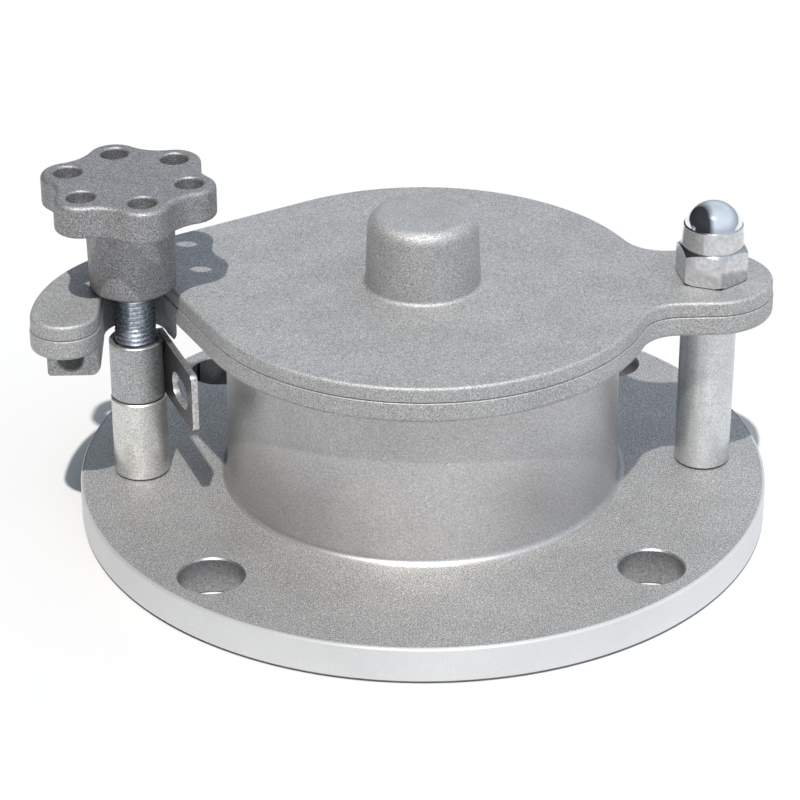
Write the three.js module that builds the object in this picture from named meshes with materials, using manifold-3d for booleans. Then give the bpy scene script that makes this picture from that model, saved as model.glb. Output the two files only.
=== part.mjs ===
// A quick-opening gauge hatch for the top of a tank: a flanged neck, and a lid that swings aside on a post.
// The lid hooks round a threaded stud on the far side, and a six-lobed hand knob clamps it down.
// Millimetres. +Z is up along the neck, +X runs from the clamp stud to the pivot post, and the lid's hook
// opens towards -Y. The origin is the middle of the flange's underside, which is bolted to the tank.
import * as THREE from "three";
import { mergeVertices } from "three/addons/utils/BufferGeometryUtils.js";
import Module from "manifold-3d";

const wasm = await Module();
wasm.setup();

const GAP = 0.3; // between pieces that touch, screw together or turn on each other
const TURN = 2 * Math.PI;
const PAST = 1; // how far a cutter runs past the face it cuts, and a joined piece into its neighbour

// Flange and neck: one casting, DN100 with a PN6 bolt circle.
const FLANGE_R = 99;
const FLANGE_TOP = 10.5;
const BOLT_CIRCLE_R = 85;
const BOLT_HOLE_R = 9;
const BORE_R = 50;
const NECK_FOOT_R = 56.6;
const NECK_RIM_R = 55.6;
const NECK_TOP = 58.5;
const NECK_FILLET = 2;
const EDGE = 0.6; // broken edges on the casting

// The two posts stand on one line through the neck's axis.
const POST_X = 81.3;
const POST_R = 7.9;
const PIVOT_SEAT = 58.7; // the bar stops just under the ear
const SPIGOT_R = 5;
const THREAD_R = 5.9; // M12
const EAR_HOLE_R = 6.4;

// Lid: two tiers, one outline.
const LID_BOTTOM = 59;
const LID_PARTING = 64.9;
const LID_TOP = 69.3;
const LID_R = 64.8;
const LOWER_TIER_PROUD = 0.3;
const LID_EDGE = 1;
const EAR_R = 17.5;
const EAR_FILLET = 12;
const BOSS_TOP = 90.2;
const BOSS_FOOT_R = 16.2;
const BOSS_TOP_R = 15.6;
const BOSS_SHOULDER = 4;
const BOSS_FILLET = 1.2;
const BOSS_CORE_R = 10;
const BOSS_CORE_TOP = 84;
const BOSS_CORE_DRAFT = 1; // wider at its mouth by this much
const SLOT_R = 8.9;
const FINGER_R = 9.45;
const FINGER_Y = -16;
const HOOK_BACK_R = 47.7; // the sweep of the hook's outer edge
const HOOK_MOUTH_ANGLE = (205.5 / 360) * TURN; // where the straight edge beside the mouth leaves the disc
const SKIRT_BOTTOM = 53.6; // the wall round the back of the slot, just clear of the collar
const SKIRT_THICK = 2.7;
const LUG_BOTTOM = 50.4; // the slot's outer side and the padlock lug hang lower
const LUG = { left: -105, front: -17.5, back: -5, corner: 1.5 };
const EYE = { x: -98.5, z: 55.5, r: 3.5 };

// Gasket: a square rubber ring in a groove under the lid.
const GASKET_IN = 51;
const GASKET_OUT = 55;
const GASKET_TOP = 61.5;
const CORE_R = 47; // the lid is cored out inside the gasket
const CORE_DEPTH = 4;

// Clamp: post, swivelling collar with its hasp plate, stud and knob.
const LOCK_POST_TOP = 35.1;
const COLLAR_R = 7.7;
const COLLAR_TOP = 53;
const COLLAR_EDGE = 0.3;
const COUNTERSINK = 0.5;
const STUD_FOOT = 20;
const STUD_TOP = 89;
const HASP_TURN = (-70.6 / 360) * TURN; // which way the plate points at rest
const HASP = { offset: 7, thick: 2, tail: -3.5, tip: 29, corner: 2 };
const HASP_SLOT = { from: 10.7, to: 24.6, bottom: 39.2, top: 47.4 };
const HUB_BOTTOM = LID_TOP + 0.5;
const HUB_FOOT_R = 12.1;
const HUB_EDGE = 1;
const HUB_HEAD_R = 12.5;
const HEAD_BOTTOM = 93;
const HEAD_TOP = 102.4;
const LOBES = 6;
const LOBE_R = 7.6;
const LOBE_CIRCLE_R = 17.45;
const VALLEY_R = 20.6;
const KNOB_TURN = (45.3 / 360) * TURN; // where the first lobe points
const KNOB_HOLE_R = 3.9;
const HEAD_EDGE = 1.4;
const KNOB_BORE_TOP = 92;
const WASHER_R = 10.6;
const WASHER_BORE_R = 6.4;
const WASHER_BOTTOM = LID_TOP + GAP;
const WASHER_TOP = WASHER_BOTTOM + 1.8;

// Domed cap nut, M12 with 18 mm across its flats.
const NUT_BOTTOM = LID_TOP + GAP;
const NUT_FLATS = 18;
const NUT_HEX_TOP = 79.2;
const NUT_EDGE = 0.5; // the chamfer round its foot
const NUT_SHOULDER = 1; // the hexagon's corners are turned away this far down
const NUT_NECK_R = 8.8; // the round part above the hexagon narrows a little to the dome
const NUT_NECK_TOP_R = 8.35;
const NUT_NECK_TOP = 85.2;
const NUT_TOP = 92.1;
const NUT_DOME_R = 8.3;
const NUT_DOME_START = (12 / 360) * TURN; // the dome is a little less than half a ball
const NUT_DOME_STEPS = 7;
const NUT_BORE_TOP = 85;
const NUT_TURN = (38 / 360) * TURN;

// A closed three.js geometry as a solid that can be joined and cut.
function solid(geometry) {
  const bare = geometry.clone();
  for (const name of Object.keys(bare.attributes)) {
    if (name !== "position") bare.deleteAttribute(name);
  }
  const merged = mergeVertices(bare, 1e-4);
  const vertProperties = merged.attributes.position.array;
  const triVerts = new Uint32Array(merged.index.array);
  return new wasm.Manifold(new wasm.Mesh({ numProp: 3, vertProperties, triVerts }));
}

// A profile of [radius, height] pairs, listed anticlockwise, turned about the Z axis.
function turned(profile, sides = 48) {
  const points = profile.map(([r, z]) => new THREE.Vector2(r, z));
  if (profile[0][0] > 0) points.push(points[0].clone());
  return solid(new THREE.LatheGeometry(points, sides).rotateX(TURN / 4));
}

function cylinder(r, bottom, top, sides = 40) {
  return turned([[0, bottom], [r, bottom], [r, top], [0, top]], sides);
}

function box(left, right, front, back, bottom, top) {
  const geometry = new THREE.BoxGeometry(right - left, back - front, top - bottom);
  return solid(geometry.translate((left + right) / 2, (front + back) / 2, (bottom + top) / 2));
}

function extruded(shape, bottom, top, edge = 0, curveSegments = 12) {
  const geometry = new THREE.ExtrudeGeometry(shape, {
    depth: top - bottom - 2 * edge,
    curveSegments,
    bevelEnabled: edge > 0,
    bevelThickness: edge,
    bevelSize: edge,
    bevelOffset: -edge,
    bevelSegments: 2,
  });
  return solid(geometry.translate(0, 0, bottom + edge));
}

// A rounded corner or fillet in a profile, as points from angle a to angle b in quarters of a turn.
function arc(r, z, radius, a, b, steps = 4) {
  const points = [];
  for (let i = 0; i <= steps; i++) {
    const angle = ((a + ((b - a) * i) / steps) * TURN) / 4;
    points.push([r + radius * Math.cos(angle), z + radius * Math.sin(angle)]);
  }
  return points;
}

function casting(colour, roughness) {
  return new THREE.MeshStandardMaterial({ color: colour, roughness, metalness: 0.9 });
}

const materials = {
  aluminium: casting(0xacb0b2, 0.55),
  knob: casting(0x888a8c, 0.6),
  zinc: casting(0xb4b8b8, 0.45),
  thread: casting(0xc0c8d4, 0.3),
  cap: casting(0xd4d6da, 0.12),
  hasp: casting(0x77777a, 0.4),
  rubber: new THREE.MeshStandardMaterial({ color: 0x1c1c1e, roughness: 0.8, metalness: 0 }),
};

const hatch = new THREE.Group();

function add(name, made, material) {
  const { vertProperties, triVerts } = made.getMesh();
  const geometry = new THREE.BufferGeometry();
  geometry.setAttribute("position", new THREE.BufferAttribute(new Float32Array(vertProperties), 3));
  geometry.setIndex(new THREE.BufferAttribute(new Uint32Array(triVerts), 1));
  const flat = geometry.toNonIndexed();
  flat.computeVertexNormals();
  const mesh = new THREE.Mesh(flat, material);
  mesh.name = name;
  hatch.add(mesh);
}

// The flange with its neck, four bolt holes, and a hole for each post's spigot.
function flangeNeck() {
  let made = turned(
    [
      [BORE_R, 0],
      [FLANGE_R - EDGE, 0],
      [FLANGE_R, EDGE],
      [FLANGE_R, FLANGE_TOP - EDGE],
      [FLANGE_R - EDGE, FLANGE_TOP],
      ...arc(NECK_FOOT_R + NECK_FILLET, FLANGE_TOP + NECK_FILLET, NECK_FILLET, 3, 2),
      [NECK_RIM_R, NECK_TOP - EDGE],
      [NECK_RIM_R - EDGE, NECK_TOP],
      [BORE_R + EDGE, NECK_TOP],
      [BORE_R, NECK_TOP - EDGE],
    ],
    80,
  );
  for (let i = 0; i < 4; i++) {
    const angle = ((i + 0.5) * TURN) / 4;
    const [x, y] = [BOLT_CIRCLE_R * Math.cos(angle), BOLT_CIRCLE_R * Math.sin(angle)];
    made = made.subtract(cylinder(BOLT_HOLE_R, -PAST, FLANGE_TOP + PAST, 32).translate(x, y, 0));
  }
  for (const x of [-POST_X, POST_X]) {
    made = made.subtract(cylinder(SPIGOT_R + GAP, -PAST, FLANGE_TOP + PAST, 32).translate(x, 0, 0));
  }
  return made;
}

// The lid seen from above, grown outwards by proud: a disc, the pivot ear on the right with its two
// fillets, and on the left the hook, whose finger comes round the stud.
function lidOutline(proud) {
  const disc = LID_R + proud;
  const ear = EAR_R + proud;
  const fillet = EAR_FILLET - proud;
  const finger = FINGER_R + proud;
  const slot = SLOT_R - proud;
  const back = HOOK_BACK_R + proud;
  const filletY = ear + fillet;
  const filletX = Math.sqrt((disc + fillet) ** 2 - filletY ** 2);
  const filletAngle = Math.atan2(filletY, filletX);
  const fingerX = -POST_X - SLOT_R - FINGER_R;
  const backX = fingerX - FINGER_R + HOOK_BACK_R;
  // The hook's straight back edge touches both the disc and the sweep of the hook.
  const apart = Math.hypot(backX, FINGER_Y);
  const backAngle = Math.atan2(FINGER_Y, backX) + TURN - Math.acos((LID_R - HOOK_BACK_R) / apart);
  // The straight edge beside the mouth ends on the slot's round end.
  const along = [Math.sin(HOOK_MOUTH_ANGLE), -Math.cos(HOOK_MOUTH_ANGLE)];
  const from = [disc * Math.cos(HOOK_MOUTH_ANGLE) + POST_X, disc * Math.sin(HOOK_MOUTH_ANGLE)];
  const half = -(from[0] * along[0] + from[1] * along[1]);
  const reach = half - Math.sqrt(half ** 2 - from[0] ** 2 - from[1] ** 2 + slot ** 2);
  const mouthAngle = Math.atan2(from[1] + reach * along[1], from[0] + reach * along[0]);
  const shape = new THREE.Shape();
  shape.absarc(0, 0, disc, HOOK_MOUTH_ANGLE, TURN - filletAngle, false);
  shape.absarc(filletX, -filletY, fillet, TURN / 2 - filletAngle, TURN / 4, true);
  shape.absarc(POST_X, 0, ear, -TURN / 4, TURN / 4, false);
  shape.absarc(filletX, filletY, fillet, -TURN / 4, filletAngle - TURN / 2, true);
  shape.absarc(0, 0, disc, filletAngle, backAngle, false);
  shape.absarc(backX, FINGER_Y, back, backAngle, TURN / 2, false);
  shape.absarc(fingerX, FINGER_Y, finger, TURN / 2, TURN, false);
  shape.absarc(-POST_X, 0, slot, TURN / 2, mouthAngle, true);
  return shape;
}

// The wall that hangs round the slot, deeper on the outer side, where it ends in a drilled padlock lug.
function slotSkirt() {
  const inside = LID_BOTTOM + PAST;
  const wall = -POST_X - SLOT_R;
  const rounded = new THREE.Shape();
  rounded.absarc(wall - LUG.corner, LUG.front + LUG.corner, LUG.corner, -TURN / 4, 0, false);
  rounded.lineTo(wall, 0);
  rounded.lineTo(wall - SKIRT_THICK, 0);
  rounded.lineTo(wall - SKIRT_THICK, LUG.back);
  rounded.lineTo(LUG.left, LUG.back);
  rounded.lineTo(LUG.left, LUG.front);
  const ring = cylinder(SLOT_R + SKIRT_THICK, SKIRT_BOTTOM, inside)
    .subtract(cylinder(SLOT_R, SKIRT_BOTTOM - PAST, inside + PAST))
    .translate(-POST_X, 0, 0);
  const eye = cylinder(EYE.r, 0, LUG.back - LUG.front + 2 * PAST, 32)
    .rotate([90, 0, 0])
    .translate(EYE.x, LUG.back + PAST, EYE.z);
  const lugBlock = box(LUG.left, wall, LUG.front - PAST, LUG.back + PAST, LUG_BOTTOM, LID_BOTTOM);
  return ring
    .intersect(extruded(lidOutline(0), SKIRT_BOTTOM - PAST, inside + PAST))
    .add(extruded(rounded, LUG_BOTTOM, inside))
    .subtract(eye.intersect(lugBlock));
}

// The lid casting: two tiers, the round handle boss, the slot's wall, a gasket groove and a cored middle.
function hatchLid() {
  const boss = turned([
    [0, LID_TOP - PAST],
    [BOSS_FOOT_R + BOSS_FILLET, LID_TOP - PAST],
    ...arc(BOSS_FOOT_R + BOSS_FILLET, LID_TOP + BOSS_FILLET, BOSS_FILLET, 3, 2, 3),
    ...arc(BOSS_TOP_R - BOSS_SHOULDER, BOSS_TOP - BOSS_SHOULDER, BOSS_SHOULDER, 0, 1),
    [0, BOSS_TOP],
  ]);
  const groove = turned([
    [GASKET_IN - GAP, LID_BOTTOM - PAST],
    [GASKET_OUT + GAP, LID_BOTTOM - PAST],
    [GASKET_OUT + GAP, GASKET_TOP + GAP],
    [GASKET_IN - GAP, GASKET_TOP + GAP],
  ]);
  const core = turned([
    [0, LID_BOTTOM - PAST],
    [CORE_R, LID_BOTTOM - PAST],
    [CORE_R, LID_BOTTOM + CORE_DEPTH],
    [BOSS_CORE_R + BOSS_CORE_DRAFT, LID_BOTTOM + CORE_DEPTH],
    [BOSS_CORE_R, BOSS_CORE_TOP],
    [0, BOSS_CORE_TOP],
  ]);
  return extruded(lidOutline(LOWER_TIER_PROUD), LID_BOTTOM, LID_PARTING)
    .add(extruded(lidOutline(0), LID_PARTING - LID_EDGE - PAST, LID_TOP, LID_EDGE))
    .add(boss)
    .add(slotSkirt())
    .subtract(groove)
    .subtract(core)
    .subtract(cylinder(EAR_HOLE_R, LID_BOTTOM - PAST, LID_TOP + PAST, 32).translate(POST_X, 0, 0));
}

// A rubber ring that stands a little proud of the lid and seals on the neck's rim.
function lidGasket() {
  return turned([
    [GASKET_IN, NECK_TOP + GAP],
    [GASKET_OUT, NECK_TOP + GAP],
    [GASKET_OUT, GASKET_TOP],
    [GASKET_IN, GASKET_TOP],
  ]);
}

// The pivot post: a spigot in the flange, the bar that carries the lid's ear, and an M12 shank for the nut.
function pivotPost() {
  return turned([
    [0, GAP],
    [SPIGOT_R, GAP],
    [SPIGOT_R, FLANGE_TOP + GAP],
    [POST_R, FLANGE_TOP + GAP],
    [POST_R, PIVOT_SEAT],
    [THREAD_R, PIVOT_SEAT],
    [THREAD_R, NUT_BORE_TOP - GAP],
    [0, NUT_BORE_TOP - GAP],
  ], 40).translate(POST_X, 0, 0);
}

// The domed cap nut: a hexagon with chamfered corners, a tapered collar and a dome, tapped from below.
function acornNut() {
  const corner = NUT_FLATS / Math.sqrt(3);
  const hexagon = cylinder(corner, NUT_BOTTOM, NUT_HEX_TOP, 6);
  const dome = [];
  for (let i = 0; i <= NUT_DOME_STEPS; i++) {
    const angle = NUT_DOME_START + ((TURN / 4 - NUT_DOME_START) * i) / NUT_DOME_STEPS;
    dome.push([NUT_DOME_R * Math.cos(angle), NUT_TOP - NUT_DOME_R * (1 - Math.sin(angle))]);
  }
  dome[NUT_DOME_STEPS][0] = 0;
  const corners = turned([
    [0, NUT_BOTTOM],
    [corner - NUT_EDGE, NUT_BOTTOM],
    [corner, NUT_BOTTOM + NUT_EDGE],
    [corner, NUT_HEX_TOP - NUT_SHOULDER],
    [NUT_NECK_R, NUT_HEX_TOP],
    [0, NUT_HEX_TOP],
  ]);
  const upper = turned([
    [0, NUT_HEX_TOP - PAST],
    [NUT_NECK_R, NUT_HEX_TOP - PAST],
    [NUT_NECK_R, NUT_HEX_TOP],
    [NUT_NECK_TOP_R, NUT_NECK_TOP],
    ...dome,
  ], 40);
  return hexagon
    .rotate([0, 0, (NUT_TURN * 360) / TURN])
    .intersect(corners)
    .add(upper)
    .subtract(cylinder(THREAD_R + GAP, NUT_BOTTOM - PAST, NUT_BORE_TOP, 32))
    .translate(POST_X, 0, 0);
}

// The lower half of the clamp post, drilled and tapped for the stud.
function lockPost() {
  return turned([
    [0, GAP],
    [SPIGOT_R, GAP],
    [SPIGOT_R, FLANGE_TOP + GAP],
    [POST_R, FLANGE_TOP + GAP],
    [POST_R, LOCK_POST_TOP],
    [THREAD_R + GAP, LOCK_POST_TOP],
    [THREAD_R + GAP, STUD_FOOT - GAP],
    [0, STUD_FOOT - GAP],
  ], 40).translate(-POST_X, 0, 0);
}

// The collar that turns on the stud, with a countersunk mouth and a flat where the plate is welded on.
function haspCollar() {
  const outside = COLLAR_R + PAST;
  const flat = box(HASP.tail - GAP, outside, HASP.offset - GAP, outside, LOCK_POST_TOP, COLLAR_TOP + PAST);
  return turned([
    [THREAD_R + GAP, LOCK_POST_TOP + GAP],
    [COLLAR_R, LOCK_POST_TOP + GAP],
    [COLLAR_R, COLLAR_TOP - COLLAR_EDGE],
    [COLLAR_R - COLLAR_EDGE, COLLAR_TOP],
    [THREAD_R + GAP + COUNTERSINK, COLLAR_TOP],
    [THREAD_R + GAP, COLLAR_TOP - COUNTERSINK],
  ], 40)
    .subtract(flat.rotate([0, 0, (HASP_TURN * 360) / TURN]))
    .translate(-POST_X, 0, 0);
}

// The hasp plate, drawn in its own plane: along the plate, then up. It touches the collar at its tail.
function haspPlate() {
  const bottom = LOCK_POST_TOP + GAP;
  const { tail, tip, corner } = HASP;
  const shape = new THREE.Shape();
  shape.absarc(tip - corner, bottom + corner, corner, -TURN / 4, 0, false);
  shape.absarc(tip - corner, COLLAR_TOP - corner, corner, 0, TURN / 4, false);
  shape.lineTo(tail, COLLAR_TOP);
  shape.lineTo(tail, bottom);
  const slot = new THREE.Path();
  const slotR = (HASP_SLOT.top - HASP_SLOT.bottom) / 2;
  const middle = HASP_SLOT.bottom + slotR;
  slot.absarc(HASP_SLOT.to - slotR, middle, slotR, -TURN / 4, TURN / 4, false);
  slot.absarc(HASP_SLOT.from + slotR, middle, slotR, TURN / 4, (TURN * 3) / 4, false);
  shape.holes.push(slot);
  return extruded(shape, -HASP.offset - HASP.thick, -HASP.offset, 0, 6)
    .rotate([90, 0, 0])
    .rotate([0, 0, (HASP_TURN * 360) / TURN])
    .translate(-POST_X, 0, 0);
}

// The knob head seen from above: lobes on a circle, joined by hollows that touch both neighbours.
function headOutline() {
  const inner = LOBE_R - VALLEY_R;
  const step = TURN / LOBES;
  const valleyCircle =
    (LOBE_CIRCLE_R ** 2 - inner ** 2) / (2 * (inner + LOBE_CIRCLE_R * Math.cos(step / 2)));
  const valley = valleyCircle - VALLEY_R;
  const across = valleyCircle * Math.sin(step / 2);
  const outwards = valleyCircle * Math.cos(step / 2) - LOBE_CIRCLE_R;
  const touch = Math.atan2(across, outwards); // from the lobe's own radius to where the hollow touches it
  const shape = new THREE.Shape();
  for (let i = 0; i < LOBES; i++) {
    const at = KNOB_TURN + i * step;
    const mid = at + step / 2;
    shape.absarc(LOBE_CIRCLE_R * Math.cos(at), LOBE_CIRCLE_R * Math.sin(at), LOBE_R, at - touch, at + touch);
    const [valleyX, valleyY] = [valleyCircle * Math.cos(mid), valleyCircle * Math.sin(mid)];
    shape.absarc(valleyX, valleyY, valley, at + touch + TURN / 2, at + step - touch + TURN / 2, true);
  }
  return shape;
}

// The hand knob: a lobed head with six holes on a hub, tapped from below and recessed for its washer.
function starKnob() {
  let made = extruded(headOutline(), HEAD_BOTTOM, HEAD_TOP, HEAD_EDGE, 6);
  made = made.add(
    turned([
      [0, HUB_BOTTOM],
      [HUB_FOOT_R - HUB_EDGE, HUB_BOTTOM],
      [HUB_FOOT_R, HUB_BOTTOM + HUB_EDGE],
      [HUB_HEAD_R, HEAD_BOTTOM + HEAD_EDGE + PAST],
      [0, HEAD_BOTTOM + HEAD_EDGE + PAST],
    ], 48),
  );
  for (let i = 0; i < LOBES; i++) {
    const at = KNOB_TURN + (i * TURN) / LOBES;
    const [x, y] = [LOBE_CIRCLE_R * Math.cos(at), LOBE_CIRCLE_R * Math.sin(at)];
    made = made.subtract(cylinder(KNOB_HOLE_R, HEAD_BOTTOM - PAST, HEAD_TOP + PAST, 24).translate(x, y, 0));
  }
  return made
    .subtract(cylinder(THREAD_R + GAP, HUB_BOTTOM - PAST, KNOB_BORE_TOP, 32))
    .subtract(cylinder(WASHER_R + GAP, HUB_BOTTOM - PAST, WASHER_TOP + GAP, 40))
    .translate(-POST_X, 0, 0);
}

// A loose steel thrust washer, held in the hub's mouth, so that the turning knob doesn't scrape the lid.
function thrustWasher() {
  return turned([
    [WASHER_BORE_R, WASHER_BOTTOM],
    [WASHER_R, WASHER_BOTTOM],
    [WASHER_R, WASHER_TOP],
    [WASHER_BORE_R, WASHER_TOP],
  ], 40).translate(-POST_X, 0, 0);
}

add("flange_neck", flangeNeck(), materials.aluminium);
add("pivot_post", pivotPost(), materials.zinc);
add("acorn_nut", acornNut(), materials.cap);
add("lock_post", lockPost(), materials.zinc);
add("clamp_stud", cylinder(THREAD_R, STUD_FOOT, STUD_TOP, 40).translate(-POST_X, 0, 0), materials.thread);
add("hatch_lid", hatchLid(), materials.aluminium);
add("lid_gasket", lidGasket(), materials.rubber);
add("hasp_collar", haspCollar(), materials.zinc);
add("hasp_plate", haspPlate(), materials.hasp);
add("star_knob", starKnob(), materials.knob);
add("thrust_washer", thrustWasher(), materials.zinc);

export default hatch;
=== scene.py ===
"""The looks of a quick-opening tank gauge hatch: a flanged neck whose lid swings aside on a post."""

import math

import bmesh
import bpy
from mathutils import Matrix, Vector


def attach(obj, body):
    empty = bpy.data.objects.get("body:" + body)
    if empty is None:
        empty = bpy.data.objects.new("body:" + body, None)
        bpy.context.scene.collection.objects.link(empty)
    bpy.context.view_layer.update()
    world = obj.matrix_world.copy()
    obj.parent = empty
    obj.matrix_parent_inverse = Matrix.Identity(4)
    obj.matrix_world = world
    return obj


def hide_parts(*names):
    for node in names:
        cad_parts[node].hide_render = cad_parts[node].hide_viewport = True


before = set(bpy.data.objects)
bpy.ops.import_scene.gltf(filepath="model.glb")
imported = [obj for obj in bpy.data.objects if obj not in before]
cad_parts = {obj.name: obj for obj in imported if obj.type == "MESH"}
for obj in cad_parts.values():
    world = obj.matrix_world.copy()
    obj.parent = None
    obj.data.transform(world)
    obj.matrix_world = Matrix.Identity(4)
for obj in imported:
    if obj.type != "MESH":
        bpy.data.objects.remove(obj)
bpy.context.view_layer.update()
TURN = 2 * math.pi
MM = 0.001


# Flange and neck: one aluminium casting, shot-blasted all over, then faced and turned on the flange's rim.
# The neck is as cast and smoother than the flange. Four bolt holes are drilled through, and two more
# take the spigots of the posts.
FLANGE_R = 99.0
FLANGE_TOP = 10.5
NECK_TOP = 58.5
NECK_FOOT_R = 56.6
NECK_RIM_R = 55.6
BORE_R = 50.0
BOLT_CIRCLE_R = 85.0
BOLT_HOLE_R = 9.0
HOLE_CHAMFER = 0.45
EDGE = 0.6  # the turned edges are broken by this much
NECK_FILLET = 2.2
POST_X = 81.3
SPIGOT_R = 5.0
GAP = 0.3  # between pieces that touch, screw together or turn on each other
PAST = 1.0  # how far a cutter runs past the face that it cuts


def sweep(x, z, radius, start, end, steps=5):
    """Points on an arc, from start to end in degrees."""
    points = []
    for i in range(steps + 1):
        angle = math.radians(start + (end - start) * i / steps)
        points.append((x + radius * math.cos(angle), z + radius * math.sin(angle)))
    return points


def turned(profile, steps=128):
    """A shape turned on a lathe from points of radius and height in mm."""
    bm = bmesh.new()
    verts = [bm.verts.new((r, 0, z)) for r, z in profile]
    around = zip(verts, verts[1:] + verts[:1]) if profile[0][0] > 0 else zip(verts, verts[1:])
    edges = [bm.edges.new(pair) for pair in around]
    bmesh.ops.spin(
        bm, geom=verts + edges, cent=(0, 0, 0), axis=(0, 0, 1), angle=TURN, steps=steps, use_merge=True
    )
    bmesh.ops.remove_doubles(bm, verts=bm.verts, dist=1e-4)
    bmesh.ops.recalc_face_normals(bm, faces=bm.faces)
    return bm


def rod(radius, bottom, top, steps=48):
    """A plain round bar on the Z axis, in mm, mostly for drilling."""
    return turned([(0, bottom), (radius, bottom), (radius, top), (0, top)], steps)


def placed(bm, x=0.0, y=0.0, z=0.0, turn=None):
    """The shape turned by a matrix, if any, then moved by x, y and z mm."""
    if turn is not None:
        bmesh.ops.transform(bm, matrix=turn, verts=bm.verts)
    bmesh.ops.translate(bm, vec=(x, y, z), verts=bm.verts)
    return bm


def combined(bm, tools, operation):
    """The shape with others joined to it, cut from it or kept in common, one after another."""
    objects = []
    for shape in [bm, *tools]:
        mesh = bpy.data.meshes.new("working")
        shape.to_mesh(mesh)
        shape.free()
        objects.append(bpy.data.objects.new("working", mesh))
        bpy.context.collection.objects.link(objects[-1])
    for tool in objects[1:]:
        step = objects[0].modifiers.new("step", "BOOLEAN")
        step.operation = operation
        step.solver = "EXACT"
        step.object = tool
    shaped = objects[0].evaluated_get(bpy.context.evaluated_depsgraph_get())
    made = bmesh.new()
    made.from_mesh(shaped.to_mesh())
    shaped.to_mesh_clear()
    for working in objects:
        mesh = working.data
        bpy.data.objects.remove(working)
        bpy.data.meshes.remove(mesh)
    bmesh.ops.remove_doubles(made, verts=made.verts, dist=1e-4)
    return made


def finished(bm, name, body, nodes, finish, crease=32.0):
    """The shape, so far in mm, as a piece of the hatch in metres.

    finish holds the piece's materials and a function that gives each face its material's number, or None
    where there is one material. Edges that turn by more than crease degrees stay sharp.
    """
    materials, chosen = finish
    for face in bm.faces:
        face.smooth = True
        face.material_index = chosen(face) if chosen else 0
    for edge in bm.edges:
        edge.smooth = len(edge.link_faces) == 2 and edge.calc_face_angle() < math.radians(crease)
    bmesh.ops.scale(bm, vec=(MM, MM, MM), verts=bm.verts)
    mesh = bpy.data.meshes.new(name)
    bm.to_mesh(mesh)
    bm.free()
    for material in materials:
        mesh.materials.append(material)
    piece = bpy.data.objects.new(name, mesh)
    bpy.context.collection.objects.link(piece)
    evening = piece.modifiers.new("even shading", "WEIGHTED_NORMAL")
    evening.keep_sharp = True
    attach(piece, body)
    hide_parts(*nodes)
    return piece


def linear(code):
    """An sRGB hex colour as the linear numbers that a shader takes."""
    parts = [int(code[i : i + 2], 16) / 255 for i in (1, 3, 5)]
    return [p / 12.92 if p <= 0.04045 else ((p + 0.055) / 1.055) ** 2.4 for p in parts] + [1.0]


def node(material, kind, settings=(), links=(), values=()):
    """Adds a node: settings are its own, values fill its sockets, links bring in other nodes' outputs."""
    made = material.node_tree.nodes.new(kind)
    for key, value in dict(settings).items():
        setattr(made, key, value)
    for key, value in dict(values).items():
        made.inputs[key].default_value = value
    for key, output in dict(links).items():
        material.node_tree.links.new(output, made.inputs[key])
    return made


def metal_surface(name, shade, dark, light, grain_mm, depth_mm, metallic, rough, blotch_mm=14.0, speck=0.5):
    """A metal finish with grain of a real size: cast, blasted or plated by its numbers.

    Grain shifts the colour between dark and light and raises bumps; wide blotches vary it slowly, and fine
    specks glint in it.
    """
    material = bpy.data.materials.new(name)
    material.use_nodes = True
    shader = material.node_tree.nodes["Principled BSDF"]
    shader.inputs["Metallic"].default_value = metallic
    place = node(material, "ShaderNodeTexCoord").outputs["Object"]
    grain = node(
        material,
        "ShaderNodeTexNoise",
        links={"Vector": place},
        values={"Scale": 1000 / grain_mm, "Detail": 2.0, "Roughness": 0.6},
    )
    blotch = node(
        material,
        "ShaderNodeTexNoise",
        links={"Vector": place},
        values={"Scale": 1000 / blotch_mm, "Detail": 4.0, "Roughness": 0.55},
    )
    glint = node(
        material,
        "ShaderNodeTexVoronoi",
        links={"Vector": place},
        values={"Scale": 1000 / grain_mm},
    )
    tone = node(
        material,
        "ShaderNodeValToRGB",
        links={"Fac": grain.outputs["Fac"]},
    )
    tone.color_ramp.elements[0].position = 0.32
    tone.color_ramp.elements[0].color = linear(dark)
    tone.color_ramp.elements[1].position = 0.68
    tone.color_ramp.elements[1].color = linear(light)
    middle = tone.color_ramp.elements.new(0.5)
    middle.color = linear(shade)
    slow = node(
        material,
        "ShaderNodeMapRange",
        links={"Value": blotch.outputs["Fac"]},
        values={"From Min": 0.3, "From Max": 0.7, "To Min": 0.93, "To Max": 1.07},
    )
    bright = node(
        material,
        "ShaderNodeMapRange",
        links={"Value": glint.outputs["Color"]},
        values={"From Min": 0.7, "From Max": 1.0, "To Min": 1.0, "To Max": 1.0 + speck},
    )
    both = node(
        material,
        "ShaderNodeMath",
        {"operation": "MULTIPLY"},
        links={0: slow.outputs["Result"], 1: bright.outputs["Result"]},
    )
    colour = node(
        material,
        "ShaderNodeVectorMath",
        {"operation": "SCALE"},
        links={0: tone.outputs["Color"], "Scale": both.outputs[0]},
    )
    sheen = node(
        material,
        "ShaderNodeMapRange",
        links={"Value": grain.outputs["Fac"]},
        values={"From Min": 0.3, "From Max": 0.7, "To Min": rough + 0.07, "To Max": rough - 0.07},
    )
    bump = node(
        material,
        "ShaderNodeBump",
        links={"Height": grain.outputs["Fac"]},
        values={"Strength": 1.0, "Distance": depth_mm * MM},
    )
    links = material.node_tree.links
    links.new(colour.outputs["Vector"], shader.inputs["Base Color"])
    links.new(sheen.outputs["Result"], shader.inputs["Roughness"])
    links.new(bump.outputs["Normal"], shader.inputs["Normal"])
    return material


# Shot-blasted aluminium: dull grey, with a fine sandy grain that sparkles a little.
blasted_flange = metal_surface(
    "shot_blasted_aluminium_flange", "#a8a7a6", "#717070", "#dfdedd", 0.34, 0.08, 0.74, 0.58
)
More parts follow.
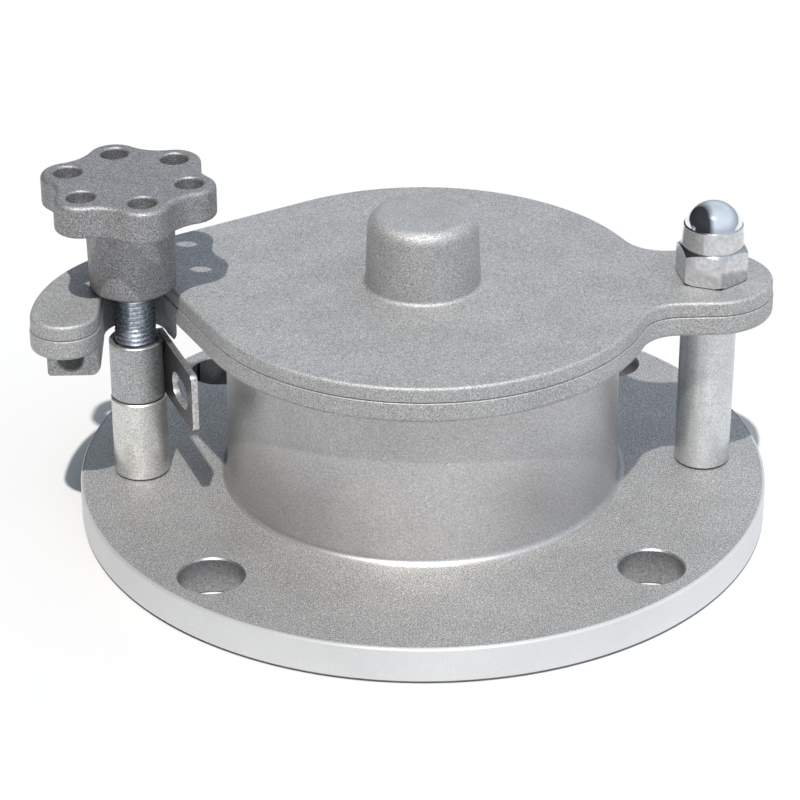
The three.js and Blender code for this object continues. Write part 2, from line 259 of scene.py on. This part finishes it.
# As-cast aluminium, blasted more lightly: smoother, with wide faint marks from the mould.
cast_neck = metal_surface(
    "as_cast_aluminium_neck",
    "#b5b4b4",
    "#a1a0a0",
    "#c9c8c8",
    0.40,
    0.025,
    0.82,
    0.44,
    blotch_mm=22.0,
    speck=0.15,
)
# Drilled aluminium: the walls of the holes, coloured greyer than the rim and the blasted top as painted
# shade inside the holes.
drilled_wall_painted_shade = metal_surface(
    "drilled_aluminium_painted_shade", "#8f9092", "#7d7e80", "#a3a4a6", 0.6, 0.02, 0.8, 0.42, blotch_mm=8.0, speck=0.1
)
# Turned aluminium: near white and smooth, its rings too fine to see.
turned_rim = metal_surface(
    "turned_aluminium", "#cdcecf", "#c9cacb", "#d1d2d3", 0.4, 0.0005, 0.40, 0.38, blotch_mm=60.0, speck=0.0
)

flange = turned(
    [
        (BORE_R, 0),
        (FLANGE_R - EDGE, 0),
        (FLANGE_R, EDGE),
        (FLANGE_R, FLANGE_TOP - EDGE),
        # A fine groove is left where the turned rim ends and the blasted top starts.
        (FLANGE_R - 0.35, FLANGE_TOP - 0.12),
        (FLANGE_R - 0.55, FLANGE_TOP - 0.6),
        (FLANGE_R - 0.85, FLANGE_TOP),
        *sweep(NECK_FOOT_R + NECK_FILLET, FLANGE_TOP + NECK_FILLET, NECK_FILLET, 270, 181, 7),
        (NECK_RIM_R, NECK_TOP - EDGE),
        (NECK_RIM_R - EDGE, NECK_TOP),
        (BORE_R + EDGE, NECK_TOP),
        (BORE_R, NECK_TOP - EDGE),
    ],
    192,
)
drills = []
for i in range(4):
    angle = TURN * (i + 0.5) / 4
    drill = turned(
        [
            (0, -PAST),
            (BOLT_HOLE_R, -PAST),
            (BOLT_HOLE_R, FLANGE_TOP - HOLE_CHAMFER),
            (BOLT_HOLE_R + 2 * HOLE_CHAMFER, FLANGE_TOP + HOLE_CHAMFER),
            (0, FLANGE_TOP + HOLE_CHAMFER),
        ],
        64,
    )
    drills.append(placed(drill, BOLT_CIRCLE_R * math.cos(angle), BOLT_CIRCLE_R * math.sin(angle)))
for x in (-POST_X, POST_X):
    drills.append(placed(rod(SPIGOT_R + GAP, -PAST, FLANGE_TOP + PAST), x))
flange = combined(flange, drills, "DIFFERENCE")


def flange_finish(face):
    """0 for the blasted flange, 1 for the neck, 2 for the turned rim and bore, 3 for the drilled holes,
    whose walls are painted darker as shade.
    """
    centre = face.calc_center_median()
    across = math.hypot(centre.x, centre.y)
    in_a_hole = abs(face.normal.z) < 0.9 and across > NECK_FOOT_R + NECK_FILLET
    if across > FLANGE_R - 0.9 or centre.z < EDGE + 0.1 or across < BORE_R + EDGE + 0.1:
        return 2
    if centre.z > FLANGE_TOP + 0.1:
        return 1
    return 3 if in_a_hole else 0


finished(
    flange,
    "flange_and_neck",
    "base",
    ["flange_neck"],
    ([blasted_flange, cast_neck, turned_rim, drilled_wall_painted_shade], flange_finish),
)


# Pivot post and lower half of the clamp post: 16 mm steel bar, turned, dull zinc plate mottled with
# handling. Each has a spigot held in the flange. The pivot post's M12 shank goes up through the lid's ear.
POST_R = 7.9
BAR_EDGE = 0.4  # broken edges of the turned bars
THREAD_R = 5.9
PIVOT_SEAT = 58.7
SHANK_TOP = 84.7
LOCK_POST_TOP = 35.1
STUD_FOOT = 20.0

# Zinc-plated bar: dull silver, almost without grain.
zinc_bar = metal_surface(
    "zinc_plated_bar", "#c9cccd", "#b7babc", "#dadcdd", 0.5, 0.012, 0.85, 0.34, blotch_mm=5.0, speck=0.15
)
pivot = turned(
    [
        (0, GAP),
        (SPIGOT_R, GAP),
        (SPIGOT_R, FLANGE_TOP + GAP),
        (POST_R - BAR_EDGE, FLANGE_TOP + GAP),
        (POST_R, FLANGE_TOP + GAP + BAR_EDGE),
        (POST_R, PIVOT_SEAT - BAR_EDGE),
        (POST_R - BAR_EDGE, PIVOT_SEAT),
        (THREAD_R, PIVOT_SEAT),
        (THREAD_R, SHANK_TOP),
        (0, SHANK_TOP),
    ],
    96,
)
finished(
    placed(pivot, POST_X), "pivot_bar", "base", ["pivot_post"], ([zinc_bar], None)
)

# The same plate a little rougher and more uneven, rubbed by the hasp.
worn_zinc = metal_surface(
    "worn_zinc_plated_bar", "#cfcfcc", "#b8b8b4", "#e4e4e1", 0.5, 0.02, 0.85, 0.36, blotch_mm=4.0, speck=0.15
)
lower_post = turned(
    [
        (0, GAP),
        (SPIGOT_R, GAP),
        (SPIGOT_R, FLANGE_TOP + GAP),
        (POST_R - 0.3, FLANGE_TOP + GAP),
        (POST_R, FLANGE_TOP + GAP + 0.3),
        (POST_R, LOCK_POST_TOP - BAR_EDGE),
        (POST_R - BAR_EDGE, LOCK_POST_TOP),
        (THREAD_R + GAP, LOCK_POST_TOP),
        (THREAD_R + GAP, STUD_FOOT - GAP),
        (0, STUD_FOOT - GAP),
    ],
    96,
)
finished(
    placed(lower_post, -POST_X),
    "clamp_post_bar",
    "base",
    ["lock_post"],
    ([worn_zinc], None),
)


# Clamp stud: M12 steel stud with a 1.5 mm pitch, rolled thread, bright zinc plate.
# It stands in the clamp post, and the collar, the lid's hook and the knob are all on it.
PITCH = 1.5
STUD_TOP = 89.0
ROOT_R = 4.98
CREST_R = 5.88
THREAD_STEPS = 40

# Bright zinc: bluish and shiny, so that each turn of the thread catches the light.
bright_thread = metal_surface(
    "bright_zinc_thread", "#c6ccd4", "#aab2bd", "#e6eaf0", 0.8, 0.01, 0.95, 0.26, blotch_mm=9.0, speck=0.2
)
stud = bmesh.new()
one_thread = [
    (ROOT_R, 0),
    (ROOT_R, 0.12),
    (CREST_R - 0.06, 0.44),
    (CREST_R, 0.5),
    (CREST_R - 0.06, 0.56),
    (ROOT_R, 0.88),
    (ROOT_R, 1),
]
flank = [stud.verts.new((r, 0, STUD_FOOT + part * PITCH)) for r, part in one_thread]
flank_edges = [stud.edges.new(pair) for pair in zip(flank, flank[1:])]
thread_turns = int((STUD_TOP - STUD_FOOT) / PITCH) - 1
bmesh.ops.spin(
    stud,
    geom=flank + flank_edges,
    cent=(0, 0, 0),
    axis=(0, 0, 1),
    dvec=(0, 0, PITCH / THREAD_STEPS),
    angle=TURN * thread_turns,
    steps=THREAD_STEPS * thread_turns,
)
bmesh.ops.remove_doubles(stud, verts=stud.verts, dist=1e-3)
bmesh.ops.holes_fill(stud, edges=[edge for edge in stud.edges if edge.is_boundary], sides=0)
bmesh.ops.recalc_face_normals(stud, faces=stud.faces)
finished(
    placed(stud, -POST_X),
    "clamp_stud_thread",
    "base",
    ["clamp_stud"],
    ([bright_thread], None),
    50.0,
)


# Hasp collar: a short steel bush, dull zinc plate, a little greyer than the post that it stands on.
# It turns on the stud, and a flat milled along one side takes the hasp plate.
COLLAR_R = 7.7
COLLAR_TOP = 53.0
PLATE_TAIL = -3.5
PLATE_NEAR = 7.0
HASP_TURN = Matrix.Rotation(math.radians(-70.6), 4, "Z")


def block(low, high):
    """A box between two corners, in mm."""
    bm = bmesh.new()
    bmesh.ops.create_cube(bm, size=1.0)
    size = [b - a for a, b in zip(low, high)]
    bmesh.ops.scale(bm, vec=size, verts=bm.verts)
    bmesh.ops.translate(bm, vec=[(a + b) / 2 for a, b in zip(low, high)], verts=bm.verts)
    return bm


# Dull zinc: greyer than the bars, with small bright specks.
grey_zinc = metal_surface(
    "dull_zinc_plated_bush", "#a2a4a5", "#828587", "#c2c4c4", 0.45, 0.03, 0.8, 0.42, blotch_mm=5.0, speck=0.4
)
collar = turned(
    [
        (THREAD_R + GAP, LOCK_POST_TOP + GAP),
        (COLLAR_R - BAR_EDGE, LOCK_POST_TOP + GAP),
        (COLLAR_R, LOCK_POST_TOP + GAP + BAR_EDGE),
        (COLLAR_R, COLLAR_TOP - 0.3),
        (COLLAR_R - 0.3, COLLAR_TOP),
        (THREAD_R + GAP + 0.6, COLLAR_TOP),
        (THREAD_R + GAP, COLLAR_TOP - 0.6),
    ],
    96,
)
beside = COLLAR_R + PAST
mill = block((PLATE_TAIL - GAP, PLATE_NEAR - GAP, LOCK_POST_TOP), (beside, beside, COLLAR_TOP + PAST))
collar = combined(collar, [placed(mill, turn=HASP_TURN)], "DIFFERENCE")
finished(
    placed(collar, -POST_X), "hasp_bush", "hasp", ["hasp_collar"], ([grey_zinc], None)
)


# Hasp plate: 2 mm rolled steel sheet, left dark, with a punched slot and edges bright from the shear.
# It is welded to the flat on the collar, and a padlock joins its slot to the eye in the lid's lug.
PLATE_THICK = 2.0
PLATE_TIP = 29.0
PLATE_BOTTOM = LOCK_POST_TOP + GAP
PLATE_CORNER = 2.0
HASP_SLOT_R = 4.1
HASP_SLOT_Z = 43.3
HASP_SLOT_ENDS = (14.8, 20.5)  # the middles of its two round ends, along the plate


def prism(points, bottom, top):
    """A flat outline raised from bottom to top, in mm."""
    bm = bmesh.new()
    face = bm.faces.new([bm.verts.new((x, y, bottom)) for x, y in points])
    raised = bmesh.ops.extrude_face_region(bm, geom=[face])["geom"]
    up = [item for item in raised if isinstance(item, bmesh.types.BMVert)]
    bmesh.ops.translate(bm, vec=(0, 0, top - bottom), verts=up)
    bmesh.ops.recalc_face_normals(bm, faces=bm.faces)
    return bm


def rounded(bm, radius, picks, segments=3):
    """Rounds the edges that picks chooses."""
    edges = [edge for edge in bm.edges if picks(edge)]
    bmesh.ops.bevel(
        bm,
        geom=edges,
        offset=radius,
        offset_type="OFFSET",
        affect="EDGES",
        segments=segments,
        profile=0.5,
        material=-1,
        clamp_overlap=True,
    )
    return bm


def at_height(z):
    """Picks the outline's edges that lie at one height."""
    return lambda edge: all(abs(v.co.z - z) < 1e-3 for v in edge.verts) and len(edge.link_faces) == 2


# Dark rolled sheet: almost smooth, a soft shine over mill scale.
dark_sheet = metal_surface(
    "dark_rolled_sheet", "#4e4e52", "#444448", "#5b5b5e", 0.6, 0.008, 0.85, 0.36, blotch_mm=8.0, speck=0.2
)
# Sheared edge: bare bright steel round the outline and in the slot.
sheared_edge = metal_surface(
    "sheared_steel_edge", "#c9c9ca", "#a5a5a6", "#e9e9e9", 0.6, 0.02, 0.9, 0.34, blotch_mm=4.0, speck=0.2
)
corner_x = PLATE_TIP - PLATE_CORNER
plate_outline = [
    (PLATE_TAIL, PLATE_BOTTOM),
    *sweep(corner_x, PLATE_BOTTOM + PLATE_CORNER, PLATE_CORNER, 270, 360, 8),
    *sweep(corner_x, COLLAR_TOP - PLATE_CORNER, PLATE_CORNER, 0, 90, 8),
    (PLATE_TAIL, COLLAR_TOP),
]
slot_outline = [
    *sweep(HASP_SLOT_ENDS[1], HASP_SLOT_Z, HASP_SLOT_R, -90, 90, 14),
    *sweep(HASP_SLOT_ENDS[0], HASP_SLOT_Z, HASP_SLOT_R, 90, 270, 14),
]
far, near = -PLATE_NEAR - PLATE_THICK, -PLATE_NEAR
plate = combined(
    prism(plate_outline, far, near), [prism(slot_outline, far - PAST, near + PAST)], "DIFFERENCE"
)
rounded(plate, 0.22, lambda edge: len(edge.link_faces) == 2 and edge.calc_face_angle() > 1.0, 2)
plate_side = HASP_TURN @ Vector((0, 1, 0))
placed(plate, -POST_X, turn=HASP_TURN @ Matrix.Rotation(TURN / 4, 4, "X"))
finished(
    plate,
    "hasp_sheet",
    "hasp",
    ["hasp_plate"],
    ([dark_sheet, sheared_edge], lambda face: 0 if abs(face.normal.dot(plate_side)) > 0.9 else 1),
)


# Lid: one aluminium casting in two tiers, with a round handle boss, the hook that comes round the stud,
# and a wall under the slot that ends in a drilled padlock lug. It is shot-blasted finer than the flange.
LID_BOTTOM = 59.0
LID_PARTING = 64.9
LID_TOP = 69.3
LID_R = 64.8
EAR_R = 17.5
EAR_FILLET = 12.0
SLOT_R = 8.9
FINGER_R = 9.45
FINGER_Y = -16.0
HOOK_BACK_R = 47.7  # the sweep of the hook's outer edge
MOUTH_ANGLE = 205.5  # where the straight edge beside the hook's mouth leaves the disc
BOSS_FOOT_R = 16.2
BOSS_TOP_R = 15.6
BOSS_TOP = 90.2
BOSS_FILLET = 1.2
BOSS_SHOULDER = 3.8
SKIRT_BOTTOM = 53.6
SKIRT_THICK = 2.7
LUG_LEFT = -105.0
LUG_FRONT = -17.5
LUG_BACK = -5.0
LUG_BOTTOM = 50.4
LUG_CORNER = 1.5
EYE_X = -98.5
EYE_Z = 55.5
EYE_R = 3.6
GASKET_IN = 51.0
GASKET_OUT = 55.0
GASKET_TOP = 61.5
CORE_R = 47.0
CORE_TOP = 63.0
BOSS_CORE_R = 10.0
BOSS_CORE_TOP = 84.0
EAR_HOLE_R = 6.4


def lid_outline(grown):
    """The lid seen from above, grown outwards: disc, ear with its fillets, hook and slot."""
    disc, ear, fillet = LID_R + grown, EAR_R + grown, EAR_FILLET - grown
    slot, finger, back = SLOT_R - grown, FINGER_R + grown, HOOK_BACK_R + grown
    fillet_y = ear + fillet
    fillet_x = math.sqrt((disc + fillet) ** 2 - fillet_y**2)
    fillet_angle = math.degrees(math.atan2(fillet_y, fillet_x))
    finger_x = -POST_X - SLOT_R - FINGER_R
    back_x = finger_x - FINGER_R + HOOK_BACK_R
    apart = math.hypot(back_x, FINGER_Y)
    back_angle = math.degrees(math.atan2(FINGER_Y, back_x) + TURN - math.acos((LID_R - HOOK_BACK_R) / apart))
    along = Vector((math.sin(math.radians(MOUTH_ANGLE)), -math.cos(math.radians(MOUTH_ANGLE))))
    leaves = Vector((math.cos(math.radians(MOUTH_ANGLE)), math.sin(math.radians(MOUTH_ANGLE)))) * disc
    start = leaves + Vector((POST_X, 0))
    half = -start.dot(along)
    meets = start + along * (half - math.sqrt(half**2 - start.length_squared + slot**2))
    mouth = math.degrees(math.atan2(meets.y, meets.x))
    return [
        *sweep(0, 0, disc, MOUTH_ANGLE, 360 - fillet_angle, 72),
        *sweep(fillet_x, -fillet_y, fillet, 180 - fillet_angle, 90, 16)[1:],
        *sweep(POST_X, 0, ear, -90, 90, 40),
        *sweep(fillet_x, fillet_y, fillet, -90, fillet_angle - 180, 16),
        *sweep(0, 0, disc, fillet_angle, back_angle, 50)[1:],
        *sweep(back_x, FINGER_Y, back, back_angle, 180, 30),
        *sweep(finger_x, FINGER_Y, finger, 180, 360, 36)[1:],
        *sweep(-POST_X, 0, slot, 180, mouth, 36),
    ]


lower_tier = prism(lid_outline(0.3), LID_BOTTOM, LID_PARTING)
rounded(lower_tier, 0.35, at_height(LID_PARTING), 3)
rounded(lower_tier, 1.4, at_height(LID_BOTTOM), 4)
parting_groove = prism(lid_outline(-0.4), LID_PARTING - 0.6, LID_PARTING + 0.6)
upper_tier = prism(lid_outline(0), LID_PARTING + 0.3, LID_TOP)
rounded(upper_tier, 1.0, at_height(LID_TOP), 5)
boss = turned(
    [
        (0, LID_TOP - PAST),
        (BOSS_FOOT_R + BOSS_FILLET, LID_TOP - PAST),
        (BOSS_FOOT_R + BOSS_FILLET, LID_TOP - 0.02),
        *sweep(BOSS_FOOT_R + BOSS_FILLET, LID_TOP + BOSS_FILLET, BOSS_FILLET, 270, 182, 6),
        *sweep(BOSS_TOP_R - BOSS_SHOULDER, BOSS_TOP - BOSS_SHOULDER, BOSS_SHOULDER, 2, 90, 10),
        (0, BOSS_TOP),
    ],
    96,
)
wall_x = -POST_X - SLOT_R
above = LID_BOTTOM + PAST
lug = prism(
    [
        *sweep(wall_x - LUG_CORNER, LUG_FRONT + LUG_CORNER, LUG_CORNER, -90, 0, 6),
        (wall_x, 0),
        (wall_x - SKIRT_THICK, 0),
        (wall_x - SKIRT_THICK, LUG_BACK),
        (LUG_LEFT, LUG_BACK),
        (LUG_LEFT, LUG_FRONT),
    ],
    LUG_BOTTOM,
    above,
)
# Seen from the front, the lug's lower corners are rounded: a little on the left, more beside the slot.
lug_face = prism(
    [
        (LUG_LEFT, above + PAST),
        *sweep(LUG_LEFT + 1, LUG_BOTTOM + 1, 1, 180, 270, 4),
        *sweep(wall_x - 3, LUG_BOTTOM + 3, 3, 270, 360, 8),
        (wall_x, above + PAST),
    ],
    -PAST,
    -LUG_FRONT + PAST,
)
placed(lug_face, turn=Matrix.Rotation(TURN / 4, 4, "X"))
lug = combined(lug, [lug_face], "INTERSECT")
eye = turned([(0, 0), (EYE_R + 0.6, 0), (EYE_R, 0.6), (EYE_R, 14), (0, 14)], 40)
placed(eye, EYE_X, LUG_FRONT - 0.2, EYE_Z, turn=Matrix.Rotation(-TURN / 4, 4, "X"))
lug = combined(lug, [eye], "DIFFERENCE")
slot_wall = turned(
    [
        (SLOT_R, SKIRT_BOTTOM),
        (SLOT_R + SKIRT_THICK - 0.3, SKIRT_BOTTOM),
        (SLOT_R + SKIRT_THICK, SKIRT_BOTTOM + 0.3),
        (SLOT_R + SKIRT_THICK, above),
        (SLOT_R, above),
    ],
    96,
)
under_the_lid = prism(lid_outline(0), SKIRT_BOTTOM - PAST, above + PAST)
slot_wall = combined(placed(slot_wall, -POST_X), [under_the_lid], "INTERSECT")
lid = combined(lower_tier, [parting_groove, upper_tier, boss, lug, slot_wall], "UNION")
below = LID_BOTTOM - PAST
core = turned(
    [
        (0, below),
        (CORE_R, below),
        (CORE_R, CORE_TOP),
        (BOSS_CORE_R + 1, CORE_TOP),
        (BOSS_CORE_R, BOSS_CORE_TOP),
        (0, BOSS_CORE_TOP),
    ],
    96,
)
groove = turned(
    [
        (GASKET_IN - GAP, below),
        (GASKET_OUT + GAP, below),
        (GASKET_OUT + GAP, GASKET_TOP + GAP),
        (GASKET_IN - GAP, GASKET_TOP + GAP),
    ],
    96,
)
ear_hole = placed(rod(EAR_HOLE_R, below, LID_TOP + PAST), POST_X)
lid = combined(lid, [core, groove, ear_hole], "DIFFERENCE")

# Shot-blasted aluminium, cooler and finer than the flange.
blasted_lid = metal_surface(
    "shot_blasted_aluminium_lid", "#a7a7a7", "#818182", "#cccccc", 0.28, 0.06, 0.75, 0.66
)
finished(lid, "swing_lid", "lid", ["hatch_lid"], ([blasted_lid], None))


# Gasket: a square ring of black rubber in the groove under the lid, moulded, matt and slightly mottled.
# It is pressed into the lid and goes with it, and only its lower face shows when the lid is open.
moulded_rubber = metal_surface(
    "moulded_nitrile_rubber",
    "#1c1c1e",
    "#161618",
    "#252527",
    0.6,
    0.02,
    0.0,
    0.75,
    blotch_mm=10.0,
    speck=0.0,
)
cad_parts["lid_gasket"].data.materials.clear()
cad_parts["lid_gasket"].data.materials.append(moulded_rubber)


# Acorn nut: M12 steel, 18 mm across the flats, forged with a domed cap that is polished.
# It holds the lid's ear down on the pivot post. The bore is plain, with no thread in it.
NUT_FOOT = 69.6
NUT_HEX_TOP = 79.2
NUT_CORNER_R = 9 / math.cos(TURN / 12)
NUT_TOP = 92.1
NUT_NECK_R = 8.8
DOME_FOOT = 85.8
DOME_R = 8.17

# Polished steel: a near mirror without marks, its colour raised above the steel's own as a painted
# reflection.
polished_dome_painted_reflection = metal_surface(
    "polished_steel_painted_reflection", "#f0f1f3", "#ebecee", "#f5f6f8", 2.5, 0.002, 1.0, 0.09, blotch_mm=9.0, speck=0.0
)
# Satin steel: the same metal a little duller, on the flats and the neck, its colour lowered below the dome's
# as painted shade.
satin_flats_painted_shade = metal_surface(
    "satin_steel_painted_shade", "#c9c9ca", "#bdbdbe", "#d5d5d6", 1.2, 0.006, 1.0, 0.17, blotch_mm=4.0, speck=0.1
)
hexagon = prism(sweep(0, 0, NUT_CORNER_R, 38, 338, 5), NUT_FOOT, NUT_HEX_TOP)
chamfer = turned(
    [
        (0, NUT_FOOT),
        (9.6, NUT_FOOT),
        (10.5, NUT_FOOT + 0.7),
        (10.5, NUT_HEX_TOP - 1.3),
        (NUT_NECK_R + 0.2, NUT_HEX_TOP - 0.25),
        (NUT_NECK_R, NUT_HEX_TOP),
        (0, NUT_HEX_TOP),
    ],
    96,
)
cap = turned(
    [
        (0, NUT_HEX_TOP - 2),
        (NUT_NECK_R - 0.2, NUT_HEX_TOP - 2),
        (NUT_NECK_R - 0.2, NUT_HEX_TOP + 0.4),
        (NUT_NECK_R, NUT_HEX_TOP + 0.8),
        (8.35, DOME_FOOT - 0.3),
        (7.97, DOME_FOOT),
        *sweep(0, NUT_TOP - DOME_R, DOME_R, 15, 85, 14),
        (0, NUT_TOP),
    ],
    96,
)
nut_bore = rod(THREAD_R + GAP, NUT_FOOT - PAST, SHANK_TOP + GAP)
nut = combined(combined(hexagon, [chamfer], "INTERSECT"), [cap], "UNION")
nut = combined(nut, [nut_bore], "DIFFERENCE")
finished(
    placed(nut, POST_X),
    "domed_cap_nut",
    "base",
    ["acorn_nut"],
    # The dome gets the colour painted bright and the flats and neck the colour painted dark.
    ([polished_dome_painted_reflection, satin_flats_painted_shade], lambda face: 0 if face.calc_center_median().z > DOME_FOOT else 1),
)


# Star knob: aluminium, cast in one with its hub, six lobes with a hole through each, coarsely blasted.
# The hub turns up and down on the stud. Its bore is plain, with no thread in it.
KNOB_FOOT = 69.8
HUB_R = 12.1
KNOB_BORE_TOP = 92.0
WASHER_SEAT_R = 10.9
WASHER_SEAT_TOP = 71.7
HEAD_BOTTOM = 93.0
HEAD_TOP = 102.4
LOBES = 6
LOBE_CIRCLE_R = 17.45
LOBE_R = 7.55
VALLEY_R = 20.6
KNOB_START = 45.3  # where the first lobe points, in degrees
LOBE_STEP = 360 / LOBES
KNOB_HOLE_R = 3.9
HOLE_MOUTH = 0.7  # rounding where a hole meets the head's faces


def knob_outline(lobe_r):
    """The head seen from above: lobes, and hollows that touch their neighbours."""
    half = TURN / LOBES / 2
    inner = lobe_r - VALLEY_R
    hollow_circle = (LOBE_CIRCLE_R**2 - inner**2) / (2 * (inner + LOBE_CIRCLE_R * math.cos(half)))
    hollow = hollow_circle - VALLEY_R
    touch = math.degrees(
        math.atan2(hollow_circle * math.sin(half), hollow_circle * math.cos(half) - LOBE_CIRCLE_R)
    )
    points = []
    for i in range(LOBES):
        at = KNOB_START + LOBE_STEP * i
        middle = math.radians(at + LOBE_STEP / 2)
        x, y = LOBE_CIRCLE_R * math.cos(math.radians(at)), LOBE_CIRCLE_R * math.sin(math.radians(at))
        points += sweep(x, y, lobe_r, at - touch, at + touch, 18)
        x, y = hollow_circle * math.cos(middle), hollow_circle * math.sin(middle)
        points += sweep(x, y, hollow, at + touch + 180, at + LOBE_STEP - touch + 180, 8)[1:-1]
    return points


# Coarsely blasted aluminium: darker than the lid, with more sparkle.
coarse_cast = metal_surface(
    "coarse_blasted_aluminium_knob", "#8d8d8e", "#606062", "#b8b8b9", 0.30, 0.08, 0.76, 0.58, speck=0.5
)
head = prism(knob_outline(LOBE_R), HEAD_BOTTOM, HEAD_TOP)
rounded(head, 1.5, at_height(HEAD_TOP), 5)
rounded(head, 1.1, at_height(HEAD_BOTTOM), 4)
hub = turned(
    [
        (0, KNOB_FOOT),
        (HUB_R - 1, KNOB_FOOT),
        *sweep(HUB_R - 1, KNOB_FOOT + 1, 1, -70, 0, 4),
        (HUB_R + 0.25, 84),
        (HUB_R + 0.4, HEAD_BOTTOM + PAST),
        (0, HEAD_BOTTOM + PAST),
    ],
    96,
)
knob = combined(head, [hub], "UNION")
knob_tools = [
    rod(THREAD_R + GAP, KNOB_FOOT - PAST, KNOB_BORE_TOP),
    rod(WASHER_SEAT_R, KNOB_FOOT - PAST, WASHER_SEAT_TOP, 64),
]
for i in range(LOBES):
    angle = math.radians(KNOB_START + LOBE_STEP * i)
    hole = turned(
        [
            (0, HEAD_BOTTOM - 0.5),
            (KNOB_HOLE_R + 1, HEAD_BOTTOM - 0.5),
            *sweep(KNOB_HOLE_R + HOLE_MOUTH, HEAD_BOTTOM + HOLE_MOUTH, HOLE_MOUTH, 270, 180, 4)[1:],
            *sweep(KNOB_HOLE_R + HOLE_MOUTH, HEAD_TOP - HOLE_MOUTH, HOLE_MOUTH, 180, 90, 4)[:-1],
            (KNOB_HOLE_R + 1, HEAD_TOP + 0.5),
            (0, HEAD_TOP + 0.5),
        ],
        40,
    )
    knob_tools.append(placed(hole, LOBE_CIRCLE_R * math.cos(angle), LOBE_CIRCLE_R * math.sin(angle)))
knob = combined(knob, knob_tools, "DIFFERENCE")
finished(
    placed(knob, -POST_X), "six_lobed_knob", "knob", ["star_knob"], ([coarse_cast], None)
)


# Thrust washer: a plain zinc-plated steel washer in the hub's mouth, loose between knob and lid.
# It rises with the knob and keeps its blasted casting from scraping the lid.
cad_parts["thrust_washer"].data.materials.clear()
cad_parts["thrust_washer"].data.materials.append(grey_zinc)


# Studio: a plain pale floor, one small bright lamp high in front, and a pale surround, darker on the left.
# The floor is overexposed to white, so that nothing but the hatch and its shadow stands out.
bpy.ops.mesh.primitive_plane_add(size=60, location=(0, 0, -0.0005))
floor = bpy.context.object
floor.name = "studio_floor"
floor_paint = bpy.data.materials.new("matt_white_paint")
floor_paint.use_nodes = True
floor_shader = floor_paint.node_tree.nodes["Principled BSDF"]
floor_shader.inputs["Base Color"].default_value = linear("#cccccc")
floor_shader.inputs["Roughness"].default_value = 0.9
floor.data.materials.append(floor_paint)

lamp_data = bpy.data.lights.new("key_lamp", "SUN")
lamp_data.energy = 4.3
lamp_data.color = (1.0, 0.965, 0.92)
lamp_data.angle = math.radians(1.2)
lamp = bpy.data.objects.new("key_lamp", lamp_data)
lamp.rotation_euler = Vector((-0.065, -0.502, 1.0)).to_track_quat("Z", "Y").to_euler()
bpy.context.collection.objects.link(lamp)

world = bpy.data.worlds.new("white_surround")
bpy.context.scene.world = world
world.use_nodes = True
direction = node(world, "ShaderNodeTexCoord").outputs["Generated"]
split = node(world, "ShaderNodeSeparateXYZ", links={0: direction})
height = node(world, "ShaderNodeValToRGB", links={"Fac": split.outputs["Z"]})
height.color_ramp.elements[0].position = 0.0
height.color_ramp.elements[0].color = linear("#a2adb9")
height.color_ramp.elements[1].position = 0.55
height.color_ramp.elements[1].color = linear("#dfebf8")
side = node(
    world,
    "ShaderNodeMapRange",
    links={"Value": split.outputs["X"]},
    values={"From Min": -0.38, "From Max": -0.02, "To Min": 0.07, "To Max": 1.05},
)
world.node_tree.links.new(height.outputs["Color"], world.node_tree.nodes["Background"].inputs["Color"])
behind = node(
    world,
    "ShaderNodeMapRange",
    links={"Value": split.outputs["Y"]},
    values={"From Min": -0.2, "From Max": 0.5, "To Min": 1.0, "To Max": 0.85},
)
strength = node(
    world,
    "ShaderNodeMath",
    {"operation": "MULTIPLY"},
    links={0: side.outputs["Result"], 1: behind.outputs["Result"]},
)
world.node_tree.links.new(strength.outputs[0], world.node_tree.nodes["Background"].inputs["Strength"])

camera_data = bpy.data.cameras.new("camera")
camera_data.sensor_width = 36.0
camera_data.lens = 132.06
camera = bpy.data.objects.new("camera", camera_data)
looks = Vector((0.0296, 0.8798, -0.4744)).to_track_quat("-Z", "Y").to_matrix()
rolled = Matrix.Rotation(math.radians(-0.169), 3, "Z")
camera.matrix_world = Matrix.Translation((-0.03151, -0.74185, 0.43129)) @ (looks @ rolled).to_4x4()
bpy.context.collection.objects.link(camera)
bpy.context.scene.camera = camera
bpy.context.scene.view_settings.view_transform = "Standard"

bpy.context.view_layer.update()
